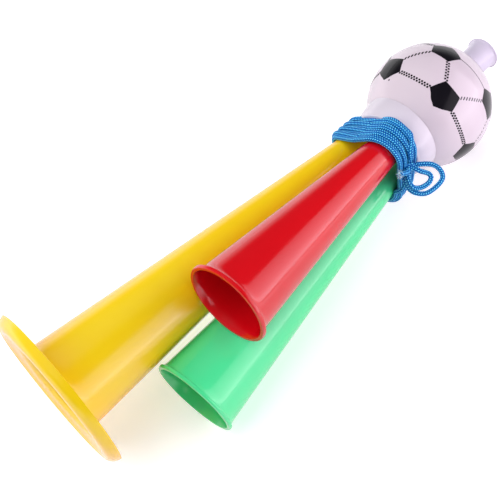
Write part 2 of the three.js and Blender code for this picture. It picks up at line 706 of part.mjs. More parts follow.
const down = tableDown();
const up = down.clone().negate();
const ahead = new THREE.Vector3(0, 0, 1).addScaledVector(up, -up.z).normalize();
const aside = up.clone().cross(ahead);
chamber.quaternion.setFromRotationMatrix(new THREE.Matrix4().makeBasis(ahead, aside, up).invert());

// The origin is on the table, under the middle of the horn without its lanyard.
chamber.updateMatrixWorld(true);
const extent = new THREE.Box3();
chamber.traverse((node) => {
  if (node.isMesh && !node.name.startsWith("lanyard")) extent.expandByObject(node, true);
});
const middle = extent.getCenter(new THREE.Vector3());
chamber.position.set(-middle.x, -middle.y, -extent.min.z);

const part = new THREE.Group();
part.name = "fan_horn";
part.add(chamber);
export default part;
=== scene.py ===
"""Three-tone fan horn: the visible pieces, finishes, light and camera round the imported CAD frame.

A white ball is the air chamber. A mouthpiece feeds it, and three plastic trumpets stand in a
collar on its front. A blue braided lanyard is wound round the trumpet roots and tied in a bow.
Lengths are in millimetres in the chamber's own frame unless a name says otherwise: its origin
is the ball's centre, +Z points towards the bells and +X towards the top trumpet.
"""

import math
import random

import bmesh
import bpy
import numpy as np
from mathutils import Matrix, Vector


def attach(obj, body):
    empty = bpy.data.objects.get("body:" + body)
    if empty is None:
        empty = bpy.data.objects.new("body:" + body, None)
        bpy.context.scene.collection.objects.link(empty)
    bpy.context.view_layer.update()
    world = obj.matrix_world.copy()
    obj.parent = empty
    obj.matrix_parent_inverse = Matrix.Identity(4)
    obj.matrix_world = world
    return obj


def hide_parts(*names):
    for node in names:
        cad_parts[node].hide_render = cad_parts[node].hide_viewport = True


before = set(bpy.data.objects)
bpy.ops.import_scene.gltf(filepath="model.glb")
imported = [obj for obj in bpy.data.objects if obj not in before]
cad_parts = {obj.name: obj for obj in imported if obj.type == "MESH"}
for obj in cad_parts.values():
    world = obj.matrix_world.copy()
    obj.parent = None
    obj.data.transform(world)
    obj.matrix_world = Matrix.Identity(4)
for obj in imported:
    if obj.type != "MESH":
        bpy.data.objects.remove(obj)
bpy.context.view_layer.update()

TAU = 2 * math.pi
MM = 0.001

# How the chamber lies in the row frame: the ball's centre, and the chamber's three axes.
BALL_CENTRE = (-98.77597, 18.57613, 32.98059)
TOP_AXIS = (-0.0635921, 0.4105131, 0.9096345)
SIDE_AXIS = (-0.0286289, -0.9118547, 0.4095136)
BELL_AXIS = (0.9975652, 0, 0.0697393)
CHAMBER = Matrix.Scale(MM, 4) @ Matrix(
    [[x, y, z, c] for x, y, z, c in zip(TOP_AXIS, SIDE_AXIS, BELL_AXIS, BALL_CENTRE)]
    + [[0, 0, 0, 1]]
)

# Sizes of the real pieces, as the CAD has them. Only the collar reaches further here, and covers
# the rim of the socket plate.
BALL_RADIUS = 33.0
BALL_WALL = 1.6
FIT_GAP = 0.3
MOUTHPIECE_REACH = 50.1
MOUTHPIECE_BORE = 5.6
MOUTHPIECE_WAIST = 8.0
MOUTHPIECE_FOOT = 8.9
MOUTHPIECE_RIM = 9.4
MOUTHPIECE_FLARE = 8.0
MOUTHPIECE_ROUND = 1.2
MOUTHPIECE_SPIGOT = 7.2
MOUTHPIECE_SPIGOT_LENGTH = 5.0
COLLAR_CREASE = 22.6
COLLAR_RADIUS = 20.5
COLLAR_BACK = 33.75
COLLAR_FRONT = 36.4
COLLAR_SWELL = 1.0
COLLAR_ROUND = 1.2
COLLAR_BORE = 19.1
COLLAR_NECK = 20.4
COLLAR_NECK_LENGTH = 5.0
ROOT_PLANE = 37.3
ROOT_OFFSET = 13.7
ROOT_RADIUS = 7.6
WALL = 1.4
SOCKET_RADIUS = 6.4
SOCKET_DEPTH = 12.3
SOCKET_SHOULDER = 20.0
LIP_FLARE = 6.0
LIP_FLAT = 1.1
LIP_ROUND = 0.8
BRIM_RADIUS = 43.1
BRIM_SWEEP = 5.2
BRIM_FLARE = 10.5
BRIM_DISH = 1.6
BRIM_DISH_RADIUS = 30.0
BRIM_FLAT = 1.4
BRIM_EDGE_ROUND = (0.2, 0.55)
ROOT_CHAMFER = 0.4
LOWER_SPREAD = 126.6
HORNS = {
    "red": {"azimuth": 0.0, "cant": 4.03, "length": 130.0, "mouth": 20.4, "lip": 22.3},
    "yellow": {"azimuth": LOWER_SPREAD, "cant": 4.93, "length": 208.0, "mouth": 24.0, "lip": 37.6},
    "green": {"azimuth": -LOWER_SPREAD, "cant": 4.93, "length": 162.0, "mouth": 21.5, "lip": 22.8},
}

# ------ camera

CAMERA_PLACE = Vector((431.2, 10.5, 297.3))
CAMERA_RIGHT = Vector((0.2589, -0.692, -0.673))
CAMERA_AHEAD = Vector((-0.9334, 0.0, -0.359)).normalized()
CAMERA_LENS = 68.4
CAMERA_SENSOR = 36.0
CAMERA_CLIP = (0.01, 50)


def stand(name, data):
    """A new object in the scene."""
    thing = bpy.data.objects.new(name, data)
    bpy.context.scene.collection.objects.link(thing)
    return thing


def stand_facing(thing, place, side, back):
    """Puts a camera or a lamp in its place. Its right side and its back point as given."""
    turn = Matrix((side, back.cross(side), back)).transposed().to_4x4()
    thing.matrix_world = Matrix.Translation(place) @ turn


def stand_camera():
    """Puts the camera where the photograph was taken from, in the chamber's frame."""
    data = bpy.data.cameras.new("photo_camera")
    data.lens = CAMERA_LENS
    data.sensor_width = CAMERA_SENSOR
    data.clip_start, data.clip_end = CAMERA_CLIP
    camera = stand("photo_camera", data)
    right = (CAMERA_RIGHT - CAMERA_AHEAD * CAMERA_RIGHT.dot(CAMERA_AHEAD)).normalized()
    turn = CHAMBER.to_3x3().normalized()
    stand_facing(camera, CHAMBER @ CAMERA_PLACE, turn @ right, turn @ -CAMERA_AHEAD)
    bpy.context.scene.camera = camera


stand_camera()

# ------ making meshes

SMOOTH_BELOW = 35.0
SAME_POINT = 1e-4
PROFILE_STEP = 3.0
TURN_SIDES = 160


def new_piece(name, points, faces, place, body, smooth_below=SMOOTH_BELOW):
    """A mesh piece from points in mm, moved to the row frame, smooth shaded, on its body."""
    mesh = bpy.data.meshes.new(name)
    mesh.from_pydata([tuple(p) for p in points], [], [tuple(f) for f in faces])
    shape = bmesh.new()
    shape.from_mesh(mesh)
    bmesh.ops.remove_doubles(shape, verts=shape.verts, dist=SAME_POINT)
    bmesh.ops.recalc_face_normals(shape, faces=shape.faces)
    shape.to_mesh(mesh)
    shape.free()
    mesh.transform(place)
    mesh.shade_smooth()
    mesh.set_sharp_from_angle(angle=math.radians(smooth_below))
    piece = stand(name, mesh)
    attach(piece, body)
    return piece


def finish_as(piece, material, slot, *nodes):
    """Gives a piece its material, and hides the CAD nodes that it stands for. The slot is not used.
    """
    piece.data.materials.append(material)
    if nodes:
        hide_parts(*nodes)


def bend(a, corner, b, steps):
    """Points of a smooth bend from a to b that aims at the corner between them."""
    return [
        tuple((1 - t) ** 2 * p + 2 * t * (1 - t) * q + t * t * r for p, q, r in zip(a, corner, b))
        for t in (i / steps for i in range(steps + 1))
    ]


def ball_arc(radius, start, end, steps):
    """Points of an arc round the ball's centre, from one place on the axis to another."""
    first, last = math.asin(start / radius), math.asin(end / radius)
    angles = [first + (last - first) * i / steps for i in range(steps + 1)]
    return [(radius * math.cos(a), radius * math.sin(a)) for a in angles]


def sphere_height(sphere, radius):
    """How far from its middle a sphere has narrowed to this radius."""
    return math.sqrt(sphere**2 - radius**2)


def fine_profile(profile):
    """The closed profile with its long straight runs split, so that the shading stays even."""
    made = []
    for (r0, z0), (r1, z1) in zip(profile, profile[1:] + profile[:1]):
        parts = max(1, math.ceil(math.hypot(r1 - r0, z1 - z0) / PROFILE_STEP))
        made += [(r0 + (r1 - r0) * i / parts, z0 + (z1 - z0) * i / parts) for i in range(parts)]
    return made


def tube_faces(rings, sides, base=0, closed=False):
    """The faces between rings of points. A closed tube joins its last ring to its first."""
    faces = []
    for i in range(rings if closed else rings - 1):
        a, b = base + i * sides, base + (i + 1) % rings * sides
        for k in range(sides):
            m = (k + 1) % sides
            faces.append((a + k, a + m, b + m, b + k))
    return faces


def turned(profile):
    """Points and faces of a closed profile of (radius, along) turned about the axis."""
    rings = fine_profile(profile)
    angles = [TAU * k / TURN_SIDES for k in range(TURN_SIDES)]
    points = [(r * math.cos(a), r * math.sin(a), z) for r, z in rings for a in angles]
    return points, tube_faces(len(rings), TURN_SIDES, closed=True)


def horn_place(horn):
    """From a trumpet's own frame, whose +Z is its axis, to the row frame."""
    return (
        CHAMBER
        @ Matrix.Rotation(math.radians(horn["azimuth"]), 4, "Z")
        @ Matrix.Translation((ROOT_OFFSET, 0, ROOT_PLANE))
        @ Matrix.Rotation(math.radians(horn["cant"]), 4, "Y")
    )


def cone_radius(horn, along):
    return ROOT_RADIUS + (horn["mouth"] - ROOT_RADIUS) * along / horn["length"]


# ------ lanyard

CORD_DIAMETER = 2.64
CORD_PITCH = 2.58
CORD_LOOPS = 8
CORD_LIFT = 0.2
# Round the winding, from the knot on: its middle along the axis, how steeply its loops lie on
# each other, and how far the loops next to the collar stand out.
WINDING_MIDDLE = [44.3, 44.8, 45.2, 43.8, 42.4, 43.0, 43.4, 42.8]
WINDING_GATHERED = [44, 34, 8, 32, 46, 44, 46, 50]
WINDING_BULGE = [1.8, 1.8, 1.9, 1.3, 0.6, 0.4, 0.2, 0.6]
BULGE_STARTS = 51.0
BULGE_FULL = 36.0
LAYER_CHANGE = 0.27
STEPS_PER_LOOP = 160
KNOT_AZIMUTH = -LOWER_SPREAD / 2
KNOT_OFF_MIDDLE = 7.0
KNOT_ALONG = 44.0
KNOT_STAND_OFF = 7.68
KNOT_CORD_OUT = 5.6
KNOT_CORD_SHARE = 0.04
KNOT_CORD_APART = 1.7
# Over which share of a loop the cord's two ends rise out to the knot, and shift along to it.
KNOT_CORD_RISES = (0.03, 0.1)
KNOT_CORD_SHIFTS = (0.02, 0.07)
# The knot's turns: their middle as (along, outwards, round), and how far they reach.
KNOT_TURNS_AT = (1.2, -1.7, -0.2)
KNOT_WIDTH = 1.75
KNOT_LOBES = 0.8
KNOT_LONG = 1.1
KNOT_ROUND = 0.8
KNOT_THICK = 1.05
KNOT_STEPS = 180
ROUTE_SPLIT = 24
BRAID_STEP = 0.3
BRAID_SIDES = 24
BRAID_SECTORS = 6
BRAID_PITCH = 1.2
BRAID_SLANT = 0.55
BRAID_DEPTH = 0.08
BRAID_EDGE_DROP = 0.8
MELTED_END = 0.82
FIBRE_SEED = 41
FIBRE_COUNT = 80
FIBRE_RINGS = 5
FIBRE_SIDES = 3
FIBRE_ROOTED = 2.2
FIBRE_LENGTH = (0.8, 2.5)
FIBRE_SPLAY = (0.1, 0.95)
FIBRE_CURL = 0.5
FIBRE_THICK = (0.14, 0.25)
FIBRE_TAPER = 0.35

# Routes as (along, outwards, round) from the middle of the knot's solid.
BOW_OUTER_ROUTE = [
    (-0.4, -2.2, 0.3), (-1.8, -1.3, 0.1), (-3.6, 0.6, 0.5), (-5.8, 3.1, 0.8), (-7.8, 5.7, 0.5),
    (-8.8, 8.1, -0.3), (-8.9, 10.4, -1.4), (-8.3, 12.3, -2.7), (-7.2, 13.4, -3.7),
    (-4.9, 13.8, -4.7), (-2.3, 13.5, -5.7), (0.4, 12.8, -6.6), (3.0, 11.7, -7.2),
    (5.1, 9.9, -7.3), (6.4, 8.0, -7.0), (7.4, 6.0, -6.4), (7.7, 3.7, -5.2), (7.3, 1.7, -3.7),
    (6.2, 0.0, -2.4), (4.6, -1.3, -1.3),
]
BOW_INNER_ROUTE = [
    (0.8, -1.6, 1.2), (0.1, -0.1, 1.3), (-0.4, 2.3, 1.0), (-1.2, 4.1, 0.1), (-2.8, 5.8, -1.0),
    (-3.9, 7.4, -2.1), (-3.5, 8.9, -3.0), (-1.6, 9.6, -4.1), (0.8, 9.2, -4.9), (3.2, 8.3, -5.1),
    (5.2, 7.2, -4.7), (6.8, 5.8, -3.6), (7.0, 4.0, -2.3), (6.3, 2.2, -1.3), (5.1, 0.5, -0.8),
    (3.6, -0.9, -0.6),
]
END_ROUTE = [(2.6, -0.9, 0.8), (5.0, -0.3, 1.6), (7.4, -0.5, 3.2), (9.6, -0.7, 4.5)]


def unit(v):
    """The direction of a vector."""
    return v / np.linalg.norm(v)


def smoothstep(x, low, high):
    t = min(1.0, max(0.0, (x - low) / (high - low)))
    return t * t * (3 - 2 * t)


def tangent_angle(here, there):
    """The outward direction in which a straight run leaves one round for the next one."""
    way = there["centre"] - here["centre"]
    return math.atan2(way[1], way[0]) - math.acos(
        (here["radius"] - there["radius"]) / np.linalg.norm(way)
    )


def on_circle(round_, angle):
    return round_["centre"] + round_["radius"] * np.array((math.cos(angle), math.sin(angle)))


def hull_runs(along, stand_off):
    """The band round the three roots at a place along the axis, as its rounds and its runs.

    A round has its circle, its first angle, its sweep and its length, a run its two ends.
    """
    rounds = []
    for horn in HORNS.values():
        run = along - ROOT_PLANE
        away = ROOT_OFFSET + run * math.tan(math.radians(horn["cant"]))
        angle = math.radians(horn["azimuth"])
        rounds.append({
            "centre": away * np.array((math.cos(angle), math.sin(angle))),
            "radius": cone_radius(horn, run) + stand_off,
        })
    runs = []
    for i, here in enumerate(rounds):
        before, after = rounds[i - 1], rounds[(i + 1) % 3]
        came = tangent_angle(before, here)
        leaves = tangent_angle(here, after)
        sweep = (leaves - came) % TAU
        runs.append(("round", here, came, sweep, here["radius"] * sweep))
        start, end = on_circle(here, leaves), on_circle(after, leaves)
        runs.append(("run", start, end, 0, np.linalg.norm(end - start)))
    return runs


def hull_point(share, along, stand_off):
    """The place on that band at a share of its length from the knot."""
    runs = hull_runs(along, stand_off)
    total = sum(length for *_, length in runs)
    _, far, near, _, knot_length = runs[5]
    left = (share % 1) * total - knot_length / 2 + KNOT_OFF_MIDDLE
    if left < 0:
        return near + (far - near) * (-left / knot_length)
    for kind, a, b, sweep, length in runs:
        if left <= length:
            if kind == "round":
                return on_circle(a, b + sweep * left / length)
            return a + (b - a) * (left / length)
        left -= length
    return near


def round_value(values, share):
    """Value of a closed smooth curve through evenly spaced values, at a share of the round."""
    place = (share % 1) * len(values)
    i = math.floor(place)
    a, b, c, d = (values[(i + step) % len(values)] for step in (-1, 0, 1, 2))
    t = place - i
    return b + t * (c - a + t * (2 * a - 5 * b + 4 * c - d + t * (3 * (b - c) + d - a))) / 2


def winding_path():
    """The wound cord's centreline: eight loops whose two ends rise to the knot."""
    points = []
    steps = CORD_LOOPS * STEPS_PER_LOOP
    for i in range(steps + 1):
        turns = KNOT_CORD_SHARE + i / steps * (CORD_LOOPS - 2 * KNOT_CORD_SHARE)
        share = turns % 1
        angle = math.radians(round_value(WINDING_GATHERED, share))
        along = round_value(WINDING_MIDDLE, share)
        along += (turns - CORD_LOOPS / 2) * CORD_PITCH * math.cos(angle)
        upper = (math.floor(turns - LAYER_CHANGE) + 1) % 2
        stand_off = CORD_DIAMETER / 2 + CORD_LIFT + upper * CORD_PITCH * math.sin(angle)
        stand_off += round_value(WINDING_BULGE, share) * smoothstep(
            BULGE_STARTS - along, 0, BULGE_STARTS - BULGE_FULL,
        )
        from_end = min(turns, CORD_LOOPS - turns) - KNOT_CORD_SHARE
        rise = 1 - smoothstep(from_end, *KNOT_CORD_RISES)
        shift = 1 - smoothstep(from_end, *KNOT_CORD_SHIFTS)
        side = math.copysign(KNOT_CORD_APART, turns - CORD_LOOPS / 2)
        stand_off += rise * (KNOT_CORD_OUT - stand_off)
        along += shift * (KNOT_ALONG + KNOT_TURNS_AT[0] + side - along)
        x, y = hull_point(share, along, stand_off)
        points.append((x, y, along))
    return np.array(points)


def blend(one, start, other, end, t):
    return (end - t) / (end - start) * one + (t - start) / (end - start) * other


def smooth_route(route):
    """A smooth line through a route of (along, outwards, round) from the knot's middle."""
    place = knot_place()
    p = np.array([tuple(place @ Vector((out, around, along))) for along, out, around in route])
    p = np.vstack((2 * p[0] - p[1], p, 2 * p[-1] - p[-2]))
    made = []
    for a, b, c, d in zip(p, p[1:], p[2:], p[3:]):
        t0 = 0.0
        t1 = t0 + np.linalg.norm(b - a) ** 0.5
        t2 = t1 + np.linalg.norm(c - b) ** 0.5
        t3 = t2 + np.linalg.norm(d - c) ** 0.5
        for t in np.linspace(t1, t2, ROUTE_SPLIT, endpoint=False):
            ab, bc, cd = blend(a, t0, b, t1, t), blend(b, t1, c, t2, t), blend(c, t2, d, t3, t)
            made.append(blend(blend(ab, t0, bc, t2, t), t1, blend(bc, t1, cd, t3, t), t2, t))
    made.append(p[-2])
    return even_steps(np.array(made))


def lengths_along(path):
    """The length of a path up to each of its points."""
    return np.concatenate(([0], np.cumsum(np.linalg.norm(np.diff(path, axis=0), axis=1))))


def even_steps(points):
    """The same line with its points the braid's even step apart."""
    lengths = lengths_along(points)
    count = max(2, round(lengths[-1] / BRAID_STEP) + 1)
    at = np.linspace(0, lengths[-1], count)
    return np.column_stack([np.interp(at, lengths, points[:, k]) for k in range(3)])


def knot_place():
    """From the knot's frame to the chamber's: +X outwards, +Y round the winding, +Z along."""
    x, y = hull_point(0, KNOT_ALONG, KNOT_STAND_OFF)
    turn = Matrix.Rotation(math.radians(KNOT_AZIMUTH), 4, "Z")
    return Matrix.Translation((x, y, KNOT_ALONG)) @ turn


def carried_frames(path):
    """Two sideways directions at each point of a path that turn with it and never twist."""
    ahead = np.gradient(path, axis=0)
    ahead /= np.linalg.norm(ahead, axis=1)[:, None]
    side = np.cross(ahead[0], (0.3, 0.5, 0.8))
    sides = []
    for t in ahead:
        side = unit(side - t * side.dot(t))
        sides.append(side)
    sides = np.array(sides)
    return sides, np.cross(ahead, sides)


def braid_height(along, around):
    """The braid's relief: slanted strands that lean to and fro in the sectors round the cord."""
    sectors = around * BRAID_SECTORS
    sector = np.floor(sectors + 1e-6)
    across = sectors - sector
    odd = sector % 2
    turns = along / BRAID_PITCH + (1 - 2 * odd) * (across - 0.5) * BRAID_SLANT + odd / 2
    edge = np.abs(across - 0.5) * 2
    return 0.5 * np.cos(TAU * turns) - BRAID_EDGE_DROP * edge**2


def braided_cord(name, path, melted_end=False):
    """A cord as a closed braided tube along a path in the chamber's frame."""
    side, up = carried_frames(path)
    rings = len(path)
    lengths = lengths_along(path)
    around = np.arange(BRAID_SIDES) / BRAID_SIDES
    along_grid, around_grid = np.meshgrid(lengths, around, indexing="ij")
    radius = CORD_DIAMETER / 2 * (1 + BRAID_DEPTH * braid_height(along_grid, around_grid))
    if melted_end:
        left = (lengths[-1] - along_grid) / CORD_DIAMETER
        radius = radius * (MELTED_END + (1 - MELTED_END) * np.clip(left, 0, 1))
    angle = TAU * around_grid
    ring = (
        path[:, None, :]
        + (radius * np.cos(angle))[..., None] * side[:, None, :]
        + (radius * np.sin(angle))[..., None] * up[:, None, :]
    )
    points = np.vstack((ring.reshape(-1, 3), path[:1], path[-1:]))
    faces = tube_faces(rings, BRAID_SIDES)
    first, last = len(points) - 2, len(points) - 1
    end = (rings - 1) * BRAID_SIDES
    for k in range(BRAID_SIDES):
        m = (k + 1) % BRAID_SIDES
        faces += [(k, first, m), (end + m, last, end + k)]
    mesh = bpy.data.meshes.new(name)
    mesh.from_pydata(points.tolist(), [], faces)
    braid = mesh.uv_layers.new(name="braid")
    corners = np.empty(len(mesh.loops), int)
    mesh.loops.foreach_get("vertex_index", corners)
    u = np.concatenate((np.repeat(lengths, BRAID_SIDES), (0, lengths[-1])))
    v = np.concatenate((np.tile(around, rings), (0, 0)))
    uv = np.column_stack((u[corners], v[corners]))
    # The last side of each ring ends where the first starts, so its far corners are at 1.
    last_side = np.arange(1, rings)[:, None] * BRAID_SIDES - 1
    uv[(last_side * 4 + (1, 2)).ravel(), 1] = 1.0
    braid.data.foreach_set("uv", uv.ravel())
    mesh.transform(CHAMBER)
    mesh.shade_smooth()
    piece = stand(name, mesh)
    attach(piece, "chamber")
    return piece


def knot_path():
    """The knot's own turns: a flattened loop that passes over and under itself three times."""
    place = knot_place()
    along_off, out_off, round_off = KNOT_TURNS_AT
    points = []
    for i in range(KNOT_STEPS + 1):
        t = TAU * i / KNOT_STEPS
        wide = KNOT_WIDTH + KNOT_LOBES * math.cos(3 * t)
        points.append(tuple(place @ Vector((
            KNOT_THICK * math.sin(3 * t) + out_off,
            KNOT_ROUND * wide * math.sin(2 * t) + round_off,
            KNOT_LONG * wide * math.cos(2 * t) + along_off,
        ))))
    return even_steps(np.array(points))


def frayed_fibres(name, path):
    """The cut end's loose fibres: fine hairs that splay out of the last few millimetres."""
    draws = random.Random(FIBRE_SEED)
    ahead = unit(path[-1] - path[-6])
    side, up = (ways[-1] for ways in carried_frames(path))
    points, faces = [], []
    for _ in range(FIBRE_COUNT):
        angle = draws.uniform(0, TAU)
        start = path[-1] - ahead * draws.uniform(0.0, FIBRE_ROOTED)
        outwards = math.cos(angle) * side + math.sin(angle) * up
        root = start + outwards * CORD_DIAMETER * 0.42 * draws.uniform(0.2, 1)
        length = draws.uniform(*FIBRE_LENGTH)
        splay = draws.uniform(*FIBRE_SPLAY)
        curl = np.array([draws.uniform(-FIBRE_CURL, FIBRE_CURL) for _ in range(3)])
        thick = draws.uniform(*FIBRE_THICK)
        base = len(points)
        for j in range(FIBRE_RINGS):
            t = j / (FIBRE_RINGS - 1)
            middle = (root + ahead * length * t * (1 - 0.3 * splay * t)
                      + outwards * length * splay * t * t * 0.8 + curl * t * t)
            for k in range(FIBRE_SIDES):
                a = TAU * k / FIBRE_SIDES
                away = math.cos(a) * side + math.sin(a) * up
                points.append(middle + thick * (1 - FIBRE_TAPER * t) * away)
        top = len(points)
        faces += tube_faces(FIBRE_RINGS, FIBRE_SIDES, base)
        faces.append(tuple(range(base, base + FIBRE_SIDES)))
        faces.append(tuple(range(top - 1, top - 1 - FIBRE_SIDES, -1)))
    return new_piece(name, points, faces, CHAMBER, "chamber", smooth_below=80)


WINDING = even_steps(winding_path())
BOW_OUTER = smooth_route(BOW_OUTER_ROUTE)
BOW_INNER = smooth_route(BOW_INNER_ROUTE)
CORD_END = smooth_route(END_ROUTE)

winding = braided_cord("lanyard_wound", WINDING)
knot = braided_cord("lanyard_tied_knot", knot_path())
bow_outer = braided_cord("lanyard_outer_loop", BOW_OUTER)
bow_inner = braided_cord("lanyard_inner_loop", BOW_INNER)
cord_end = braided_cord("lanyard_cut_end", CORD_END, melted_end=True)
fray = frayed_fibres("lanyard_frayed_fibres", CORD_END)

# ------ materials


def feed(tree, node, values):
    """Links each named input of a node to its socket, or sets it to its value."""
    for key, value in values.items():
        if isinstance(value, bpy.types.NodeSocket):
            tree.links.new(value, node.inputs[key])
        else:
            node.inputs[key].default_value = value


def put(tree, kind, values=None, **settings):
    """A new shader node with its settings, and with what its inputs are linked to or set to."""
    node = tree.nodes.new(kind)
    for key, value in settings.items():
        setattr(node, key, value)
    feed(tree, node, values or {})
    return node


def own_place(tree):
    """The place on the object, in metres of the object's own frame."""
    return put(tree, "ShaderNodeTexCoord").outputs["Object"]


def calc(tree, operation, *values):
    """What a maths node makes of its values."""
    return put(tree, "ShaderNodeMath", dict(enumerate(values)), operation=operation).outputs[0]


def remap(tree, value, start, end, low, high, **settings):
    """A value carried over from the range start to end to the range low to high."""
    return put(tree, "ShaderNodeMapRange", {
        "Value": value, "From Min": start, "From Max": end, "To Min": low, "To Max": high,
    }, **settings).outputs["Result"]


def noise(tree, where, scale, detail, roughness=0.5):
    """A soft noise from 0 to 1."""
    return put(tree, "ShaderNodeTexNoise", {
        "Vector": where, "Scale": scale, "Detail": detail, "Roughness": roughness,
    }).outputs["Fac"]


def colour_ramp(tree, share, *stops):
    """A colour read from a ramp of (position, colour) stops."""
    node = put(tree, "ShaderNodeValToRGB", {"Fac": share})
    elements = node.color_ramp.elements
    elements[0].position, elements[1].position = stops[0][0], stops[-1][0]
    for position, _ in stops[1:-1]:
        elements.new(position)
    for element, (_, colour) in zip(elements, stops):
        element.color = colour
    return node.outputs[0]


def mix_colours(tree, share, one, other):
    """A colour between two, by a share."""
    return put(tree, "ShaderNodeMix", {0: share, 6: one, 7: other}, data_type="RGBA").outputs[2]


NUMBER, COLOUR = "NodeSocketFloat", "NodeSocketColor"


def new_group(name, takes, gives):
    """A node group, the sockets of what it takes, and the node that what it gives goes to."""
    group = bpy.data.node_groups.new(name, "ShaderNodeTree")
    for label, kind, value in takes:
        socket = group.interface.new_socket(name=label, in_out="INPUT", socket_type=kind)
        socket.default_value = value
    for label, kind in gives:
        group.interface.new_socket(name=label, in_out="OUTPUT", socket_type=kind)
    return group, group.nodes.new("NodeGroupInput").outputs, group.nodes.new("NodeGroupOutput")


def moulded_skin():
    """Moulded plastic: slow colour drift, polish that varies with handling, and fine peel."""
    group, taken, given = new_group(
        "moulded_skin",
        [
            ("Colour", COLOUR, (0.8, 0.8, 0.8, 1)), ("Deep colour", COLOUR, (0.6, 0.6, 0.6, 1)),
            ("Drift size", NUMBER, 22.0), ("Polished", NUMBER, 0.15), ("Handled", NUMBER, 0.3),
        ],
        [("Colour", COLOUR), ("Roughness", NUMBER), ("Height", NUMBER)],
    )
    where = own_place(group)
    drift = noise(group, where, taken["Drift size"], 3.0, 0.55)
    tone = remap(group, drift, 0.35, 0.75, 0.0, 0.45)
    hands = noise(group, where, 65.0, 6.0, 0.7)
    feed(group, given, {
        "Colour": mix_colours(group, tone, taken["Colour"], taken["Deep colour"]),
        "Roughness": remap(group, hands, 0.4, 0.72, taken["Polished"], taken["Handled"]),
        "Height": noise(group, where, 420.0, 2.0, 0.4),
    })
    return group


def round_braid():
    """The round braid: where a slanted strand is on top, and where the strands dive under."""
    group, taken, given = new_group(
        "round_braid",
        [
            ("Pitch", NUMBER, BRAID_PITCH), ("Sectors", NUMBER, float(BRAID_SECTORS)),
            ("Slant", NUMBER, BRAID_SLANT),
        ],
        [("Strand", NUMBER), ("Groove", NUMBER), ("Height", NUMBER)],
    )

    def do(operation, *values):
        return calc(group, operation, *values)

    line = put(group, "ShaderNodeUVMap", uv_map="braid")
    parts = put(group, "ShaderNodeSeparateXYZ", {0: line.outputs["UV"]})
    sectors = do("MULTIPLY", parts.outputs["Y"], taken["Sectors"])
    sector = do("FLOOR", do("ADD", sectors, 1e-4))
    across = do("SUBTRACT", do("SUBTRACT", sectors, sector), 0.5)
    odd = do("MODULO", sector, 2.0)
    lean = do("SUBTRACT", 1.0, do("MULTIPLY", odd, 2.0))
    slant = do("MULTIPLY", across, taken["Slant"])
    turns = do("ADD", do("DIVIDE", parts.outputs["X"], taken["Pitch"]),
               do("MULTIPLY_ADD", lean, slant, do("MULTIPLY", odd, 0.5)))
    wave = do("MULTIPLY_ADD", do("COSINE", do("MULTIPLY", turns, TAU)), 0.5, 0.5)
    edge = do("POWER", do("ABSOLUTE", do("MULTIPLY", across, 2.0)), 2.0)
    height = do("SUBTRACT", wave, do("MULTIPLY", edge, BRAID_EDGE_DROP))
    strand = remap(group, height, 0.12, 0.95, 0.0, 1.0, interpolation_type="SMOOTHSTEP")
    feed(group, given, {"Strand": strand, "Groove": edge, "Height": height})
    return group


# How sharply the painted rim shade gathers at the outline.
PAINTED_RIM_SHADE_FALL = 3.0
PEEL_STRENGTH = 0.25
SKIN = moulded_skin()
BRAID = round_braid()


def bare_tree(owner):
    """The emptied node tree of a material, a lamp or the world."""
    owner.use_nodes = True
    owner.node_tree.nodes.clear()
    return owner.node_tree


def new_material(name):
    """A material and its tree, which is still empty."""
    material = bpy.data.materials.new(name)
    return material, bare_tree(material)


def shade(tree, values):
    """Ends a material's tree with a plain shader that takes these values."""
    shader = put(tree, "ShaderNodeBsdfPrincipled", values)
    put(tree, "ShaderNodeOutputMaterial", {"Surface": shader.outputs[0]})


def moulded_plastic(name, colour, deep, polished, handled, ior=1.55, drift=22.0, peel=0.02,
                    edge=None):
    """A moulded plastic of the shared skin with its own colour, polish and depth.

    Where the surface turns away from the camera, it takes its edge colour there: painted shade
    along the outline.
    """
    material, tree = new_material(name)
    skin = put(tree, "ShaderNodeGroup", {
        "Colour": colour, "Deep colour": deep, "Drift size": drift, "Polished": polished,
        "Handled": handled,
    }, node_tree=SKIN)
    base = skin.outputs["Colour"]
    if edge:
        # Painted shade: the base colour darkens to the edge colour where the surface turns away
        # from the camera.
        facing = put(tree, "ShaderNodeLayerWeight", {"Blend": 0.5})
        painted_rim_shade = calc(tree, "POWER", facing.outputs["Facing"], PAINTED_RIM_SHADE_FALL)
        base = mix_colours(tree, painted_rim_shade, base, edge)
    bump = put(tree, "ShaderNodeBump", {
        "Strength": PEEL_STRENGTH, "Distance": peel * MM, "Height": skin.outputs["Height"],
    })
    shade(tree, {
        "Base Color": base, "Roughness": skin.outputs["Roughness"], "IOR": ior,
        "Normal": bump.outputs["Normal"],
    })
    return material


def linear(*screen):
    """A colour given as 0 to 255 on the screen, as the shader's own values."""
    parts = [v / 255 for v in screen]
    return (*(v / 12.92 if v <= 0.04045 else ((v + 0.055) / 1.055) ** 2.4 for v in parts), 1)


